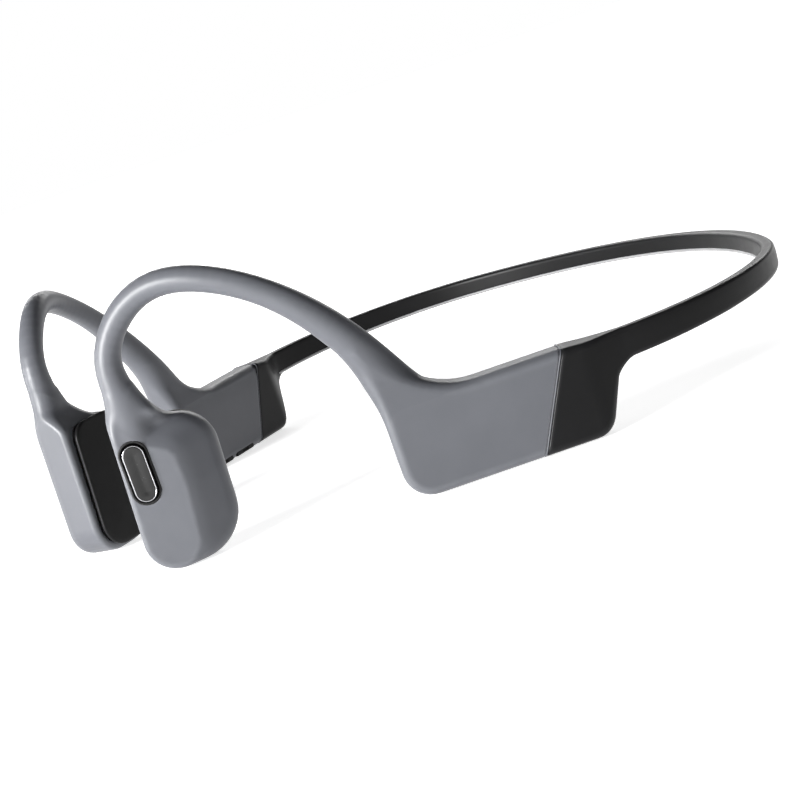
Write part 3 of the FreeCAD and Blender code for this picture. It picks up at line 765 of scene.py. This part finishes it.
def podOutline(inset=0.0):
    front, rear = podHigh[0] + pod["frontFull"] - inset, podHigh[0] - pod["depth"] + inset
    return rounded([
        (front, inset, pod["frontRadius"] - inset), (rear + pod["heel"], inset, pod["rearRadius"] - inset),
        (rear, pod["top"] - inset, pod["shoulderRadius"] - inset),
        (pod["topFront"] - inset, pod["top"] - inset, pod["topFrontRadius"] - inset),
    ])


def podWithNeck():
    # the pod seen from the side, with the neck that the hook grows out of
    front, rear = podHigh[0] + pod["frontFull"], podHigh[0] - pod["depth"]
    return rounded([
        (front, 0, pod["frontRadius"]), (rear + pod["heel"], 0, pod["rearRadius"]),
        (rear, 22.4, pod["shoulderRadius"]), (66.9, 24.0, 3.0), (69.95, pod["neckTop"], 0.3),
        (74.2, pod["neckTop"], 0.3), (75.8, 26.0, 7.0),
    ])


# where the flat outer face of the pod ends and its rear bevel begins
facetOutline = rounded([
    (podHigh[0] + 8, -6.0, 0), (podHigh[0] + 8, 25.0, 0), (74.6, 25.0, 0.5), (71.4, 20.7, 2.0),
    (67.5, 18.4, 2.4), (67.2, 13.0, 8.0), (68.2, 3.2, 3.0), (71.6, -0.6, 2.0), (73.0, -6.0, 0),
])
shapes = {"housing": housingOutline(), "cavity": cavityOutline(),
          "pod": podWithNeck(), "podCavity": podOutline(pod["wall"])}


def podBody(u, v, z):
    away = outlineDistance(facetOutline, u, z)
    falls = np.logaddexp(0, away / pod["creaseSoftness"]) * pod["creaseSoftness"] * pod["bevel"]
    falls = falls * (1 - eased(z, pod["neckLow"], pod["facetTop"]))
    face = (v - podHigh[1] + falls) / math.hypot(1, pod["bevel"])
    neck = eased(z, pod["neckLow"], pod["neckHigh"])
    middle = (podLow[1] + podHigh[1]) / 2
    middle = middle + (pod["neckMiddle"] - middle) * neck
    half = (podHigh[1] - podLow[1]) / 2
    half = half + (pod["neckHalf"] - half) * neck
    rim = pod["rim"] + (pod["neckRim"] - pod["rim"]) * neck
    body = extruded(outlineDistance(shapes["pod"], u, z), v - middle, half, rim)
    return trim(body, face, pod["rim"] * pod["edgeSoftness"])


def podCavity(u, v, z):
    away = outlineDistance(facetOutline, u, z)
    face = (v - podHigh[1] + np.maximum(away, 0) * pod["bevel"]) / math.hypot(1, pod["bevel"])
    hollow = np.maximum(outlineDistance(shapes["podCavity"], u, z), face + pod["wall"])
    return np.maximum(hollow, z - pod["cavityTop"])


def pillDistance(u, z, low, high, grow):
    middle = (low[0] + high[0]) / 2
    half = (high[0] - low[0]) / 2
    nearest = np.clip(z, low[2] + half, high[2] - half)
    return np.hypot(u - middle, z - nearest) - half - grow


def armField(points):
    u, v, z = points.T
    slims = eased(z, hook["slimLow"], hook["slimHigh"])
    half = halfHousing + (hook["rootHalf"] - halfHousing) * slims
    edge = housing["edge"] + (hook["rootEdge"] - housing["edge"]) * slims
    middle = hook["rootMiddle"] * slims
    block = extruded(outlineDistance(shapes["housing"], u, z), v - middle, half, edge)
    root = hookDistance(points)
    body = meld(block, root, hook["rootSoftness"])
    body = meld(body, podBody(u, v, z), hook["neckSoftness"])
    body = trim(body, housing["seamGap"] - seamDistance(u, z), housing["seamEdge"])
    hollow = np.maximum(outlineDistance(shapes["cavity"], u, z), np.abs(v) - halfHousing + housing["wall"])
    hollow = np.maximum(hollow, z - housingTop + housing["wall"])
    body = np.maximum(body, -hollow)
    return np.maximum(body, -podCavity(u, v, z))


def leftField(points):
    u, v, z = points.T
    hollow = pillDistance(u, z, buttonLow, buttonHigh, button["clearance"])
    hollow = np.maximum(hollow, podHigh[1] - button["depth"] - v)
    return trim(armField(points), -hollow, button["pocketEdge"])


volumes = [armBox("volume_down_button"), armBox("volume_up_button")]
contactLow, contactHigh = armBox("charging_contacts")
# a volume pocket is shallower along its inner edge
pocket = {"clearance": 0.25, "lip": 1.0, "lipDepth": 0.45, "headroom": 0.5, "edge": 0.2}
dish = {"endRadius": 0.7, "radius": 1.3, "depth": 0.3, "edge": 0.15}


def rightField(points):
    u, v, z = points.T
    body = armField(points)
    for low, high in volumes:
        hollow = np.maximum(low[0] - pocket["clearance"] - u, u - high[0] - pocket["clearance"])
        hollow = np.maximum(hollow, v - high[1] - pocket["clearance"])
        onLip = v < low[1] + pocket["lip"]
        ceiling = np.where(onLip, high[2] - pocket["lipDepth"], high[2] + pocket["headroom"])
        hollow = np.maximum(hollow, z - ceiling)
        body = trim(body, -hollow, pocket["edge"])
    middle = (contactLow + contactHigh) / 2
    nearest = np.clip(u, contactLow[0] + dish["endRadius"], contactHigh[0] - dish["endRadius"])
    hollow = np.hypot(u - nearest, z - middle[2]) - dish["radius"]
    hollow = np.maximum(hollow, v - contactLow[1] - dish["depth"])
    return trim(body, -hollow, dish["edge"])


def armSkin(side, label, field):
    low = (boot["seamTop"] - 1.0, podLow[1] - 1.0, -1.0)
    high = (podHigh[0] + 1.2, halfHousing + 1.2, cadHigh.z / mm + 1.4)
    skin = moulded(label + "ArmSkin", field, low, high, housing["grid"], onArm(side), flip=side < 0)
    return finished(skin, "greySilicone", label + "_arm",
                    (label + "_ear_housing", label + "_hook_sleeve", label + "_pod_shell"))


pad = {"inset": 0.75, "edge": 0.66, "crown": 0.35, "crownReach": 6.0, "crownEdge": 0.4, "spare": 1.0,
       "grid": 0.3}
padShape = podOutline(pad["inset"])
padLow, padHigh = armBox("left_transducer_pad")


def padField(points):
    u, v, z = points.T
    flat = np.maximum(outlineDistance(padShape, u, z), z - padHigh[2])
    middle = (padLow[1] + padHigh[1]) / 2
    half = (padHigh[1] - padLow[1]) / 2
    body = extruded(flat, v - middle, half, pad["edge"])
    sunk = pad["crown"] * (1 - np.clip(-flat / pad["crownReach"], 0, 1))
    return trim(body, padLow[1] + sunk - v, pad["crownEdge"])


def transducerPad(side, label):
    low, high = padLow - pad["spare"], padHigh + pad["spare"]
    piece = moulded(label + "Pad", padField, low, high, pad["grid"], onArm(side), flip=side < 0)
    return finished(piece, "padSilicone", label + "_pad", (label + "_transducer_pad",))


def buttonField(points):
    u, v, z = points.T
    flat = pillDistance(u, z, buttonLow, buttonHigh, 0.0)
    middle = (buttonLow[1] + buttonHigh[1]) / 2
    body = extruded(flat, v - middle, (buttonHigh[1] - buttonLow[1]) / 2, button["edge"])
    inwards = np.maximum(-flat - button["domeStart"], 0)
    hollow = button["dome"] * np.exp(-(inwards / button["domeReach"]) ** 2)
    return trim(body, v - buttonHigh[1] + button["dome"] - hollow, button["topEdge"])


def seatField(points):
    u, v, z = points.T
    outside = pillDistance(u, z, buttonLow, buttonHigh, button["clearance"] + button["seatWall"])
    inside = pillDistance(u, z, buttonLow, buttonHigh, button["clearance"] - button["seatOverlap"])
    floor = buttonLow[1] - button["seatBelow"]
    depth = np.maximum(floor - button["seatFloor"] - v, v - podHigh[1] + button["seatSunk"])
    body = np.maximum(outside, depth)
    return np.maximum(body, -np.maximum(inside, floor - v))


def buttonPieces():
    low, high = buttonLow - button["spare"], buttonHigh + button["spare"]
    cap = moulded("buttonCap", buttonField, low, high, button["grid"], onArm(1))
    finished(cap, "buttonGloss", "multifunction", ("multifunction_button",))
    seat = moulded("buttonSeat", seatField, low, high, button["grid"], onArm(1))
    finished(seat, "pocketBlack", "left_arm")


volume = {"edge": 0.35, "mark": 1.1, "markWidth": 0.28, "markHeight": 0.18, "postShare": 0.6,
          "spare": 0.6, "grid": 0.16}


def volumeField(low, high, plus):
    def field(points):
        u, v, z = points.T
        middle, half = (low + high) / 2, (high - low) / 2
        flat = np.maximum(np.abs(u - middle[0]) - half[0], np.abs(v - middle[1]) - half[1])
        body = extruded(flat, z - middle[2], half[2], volume["edge"])
        across, upwards = np.abs(u - middle[0]), np.abs(z - middle[2])
        bar = np.maximum(across - volume["mark"], upwards - volume["markWidth"] / 2)
        if plus:
            post = np.maximum(upwards - half[2] * volume["postShare"], across - volume["markWidth"] / 2)
            bar = np.minimum(bar, post)
        groove = np.maximum(bar, v - low[1] - volume["markHeight"])
        return np.maximum(body, -groove)
    return field


def volumeCaps():
    for name, (low, high), plus in zip(("volume_down", "volume_up"), volumes, (False, True)):
        label = name.replace("_d", "D").replace("_u", "U") + "Cap"
        cap = moulded(label, volumeField(low, high, plus), low - volume["spare"], high + volume["spare"],
                      volume["grid"], onArm(-1), flip=True)
        finished(cap, "volumeRubber", name, (name + "_button",))


seam = {"inset": 0.06, "corner": 1.2, "ahead": 0.10, "radius": 0.13}


def seamBead(side, label):
    # pale line where the grey moulding ends on the black one
    run = boot["seamBottom"] - boot["seamTop"]
    inset, corner = seam["inset"], seam["corner"]
    wide, length = halfHousing - inset, math.hypot(run, housingTop)
    loop = rounded([(-wide, inset, corner), (wide, inset, corner),
                    (wide, length - inset, corner), (-wide, length - inset, corner)])
    share = loop[:, 1] / length
    path = np.stack([boot["seamBottom"] - run * share, loop[:, 0], housingTop * share], 1)
    path[:, 0] += seam["ahead"]
    return bead(label + "SeamBead", onArm(side)(path), seam["radius"], "greySilicone",
                label + "_arm")


def rimBead():
    middle = (buttonLow + buttonHigh) / 2
    half = (buttonHigh - buttonLow) / 2 - button["rimRadius"] * button["rimInset"]
    bend = half[0] * button["roundness"]
    loop = rounded([(middle[0] - half[0], middle[2] - half[2], bend),
                    (middle[0] + half[0], middle[2] - half[2], bend),
                    (middle[0] + half[0], middle[2] + half[2], bend),
                    (middle[0] - half[0], middle[2] + half[2], bend)])
    path = np.stack([loop[:, 0], np.full(len(loop), buttonHigh[1] - button["rimSunk"]), loop[:, 1]], 1)
    return bead("buttonRim", onArm(1)(path), button["rimRadius"], "buttonRim",
                "multifunction")


for side, label, field in ((1, "left", leftField), (-1, "right", rightField)):
    bandSkin(side, label)
    bandHighlightBead(side, label)
    armSkin(side, label, field)
    transducerPad(side, label)
    seamBead(side, label)
buttonPieces()
volumeCaps()
rimBead()
print("pieces made")

studio = {
    "azimuth": 61.18, "elevation": 10.24, "roll": -18.95, "distance": 302.4, "target": (12.94, -10.47, 8.98),
    "focal": 77.9, "floorSize": 12.0, "floorZ": -0.0002, "floorTone": 0.85, "floorMottle": 0.02,
    "nearGlow": 0.70, "farGlow": 1.05,
    "glowStart": 0.06, "glowReach": 0.4,
    "skyStart": 0.11, "skyEnd": 0.26, "horizonLight": 1.0, "overheadLight": 0.05,
}


def turned(azimuth, elevation):
    a, e = math.radians(azimuth), math.radians(elevation)
    return Vector((math.sin(a) * math.cos(e), -math.cos(a) * math.cos(e), math.sin(e)))


def floorPiece():
    size = studio["floorSize"]
    mesh = bpy.data.meshes.new("studioFloor")
    corners = ((-1, -1), (1, -1), (1, 1), (-1, 1))
    mesh.from_pydata([(x * size, y * size, studio["floorZ"]) for x, y in corners], [], [(0, 1, 2, 3)])
    floor = bpy.data.objects.new("studioFloor", mesh)
    bpy.context.scene.collection.objects.link(floor)
    finish = Finish("studioFloorPaint", Emission_Strength=1.0)
    tone = studio["floorTone"]
    paler = tone + studio["floorMottle"]
    mottle = finish.noise(6.0, 3.0)
    base = finish.mix(mottle, colour(tone, tone, tone), colour(paler, paler, paler))
    away = finish.node("ShaderNodeVectorMath", {"operation": "LENGTH"}, i0=finish.place)["Value"]
    near, far = studio["nearGlow"], studio["farGlow"]
    share = finish.clamped(away, studio["glowStart"], studio["glowReach"])
    glow = finish.mix(share, colour(near, near, near), colour(far, far, far))
    mesh.materials.append(finish.drive(Base_Color=base, Roughness=mottle * 0.1 + 0.7, Emission_Color=glow))


def areaLight(name, azimuth, elevation, distance, size, power):
    data = bpy.data.lights.new(name, "AREA")
    data.shape = "RECTANGLE"
    data.size, data.size_y = size
    data.energy = power
    lamp = bpy.data.objects.new(name, data)
    back = turned(azimuth, elevation)
    lamp.location = Vector(studio["target"]) * mm + back * distance
    lamp.rotation_mode = "QUATERNION"
    lamp.rotation_quaternion = back.to_track_quat("Z", "Y")
    bpy.context.scene.collection.objects.link(lamp)


def cameraPiece():
    back = turned(studio["azimuth"], studio["elevation"])
    a = math.radians(studio["azimuth"])
    flatRight = Vector((math.cos(a), math.sin(a), 0))
    flatUp = back.cross(flatRight)
    r = math.radians(studio["roll"])
    right = flatRight * math.cos(r) + flatUp * math.sin(r)
    up = flatUp * math.cos(r) - flatRight * math.sin(r)
    data = bpy.data.cameras.new("studioCamera")
    data.lens, data.sensor_width = studio["focal"], 36.0
    data.clip_start, data.clip_end = 0.01, 20.0
    camera = bpy.data.objects.new("studioCamera", data)
    place = Matrix((right, up, back)).transposed().to_4x4()
    place.translation = (Vector(studio["target"]) + back * studio["distance"]) * mm
    camera.matrix_world = place
    bpy.context.scene.collection.objects.link(camera)
    bpy.context.scene.camera = camera


def studioWorld():
    # bright round the horizon, dimmer overhead, so edges pick up a light line
    world = bpy.data.worlds.new("studioWorld")
    world.use_nodes = True
    tree = world.node_tree
    place = tree.nodes.new("ShaderNodeTexCoord")
    parts = tree.nodes.new("ShaderNodeSeparateXYZ")
    fade = tree.nodes.new("ShaderNodeMapRange")
    fade.inputs["From Min"].default_value = studio["skyStart"]
    fade.inputs["From Max"].default_value = studio["skyEnd"]
    fade.inputs["To Min"].default_value = studio["horizonLight"]
    fade.inputs["To Max"].default_value = studio["overheadLight"]
    tree.links.new(place.outputs["Generated"], parts.inputs[0])
    tree.links.new(parts.outputs["Z"], fade.inputs["Value"])
    tree.links.new(fade.outputs["Result"], tree.nodes["Background"].inputs["Strength"])
    tree.nodes["Background"].inputs["Color"].default_value = (1, 1, 1, 1)
    bpy.context.scene.world = world


studioWorld()
floorPiece()
areaLight("keySoftbox", 5, 13, 0.6, (0.2, 0.2), 9.0)
areaLight("lowFrontStrip", -35, 3, 0.5, (0.05, 0.25), 0.9)
areaLight("backStrip", 238, 24, 0.8, (0.9, 0.12), 2.6)
cameraPiece()
bpy.context.scene.view_settings.view_transform = "Standard"
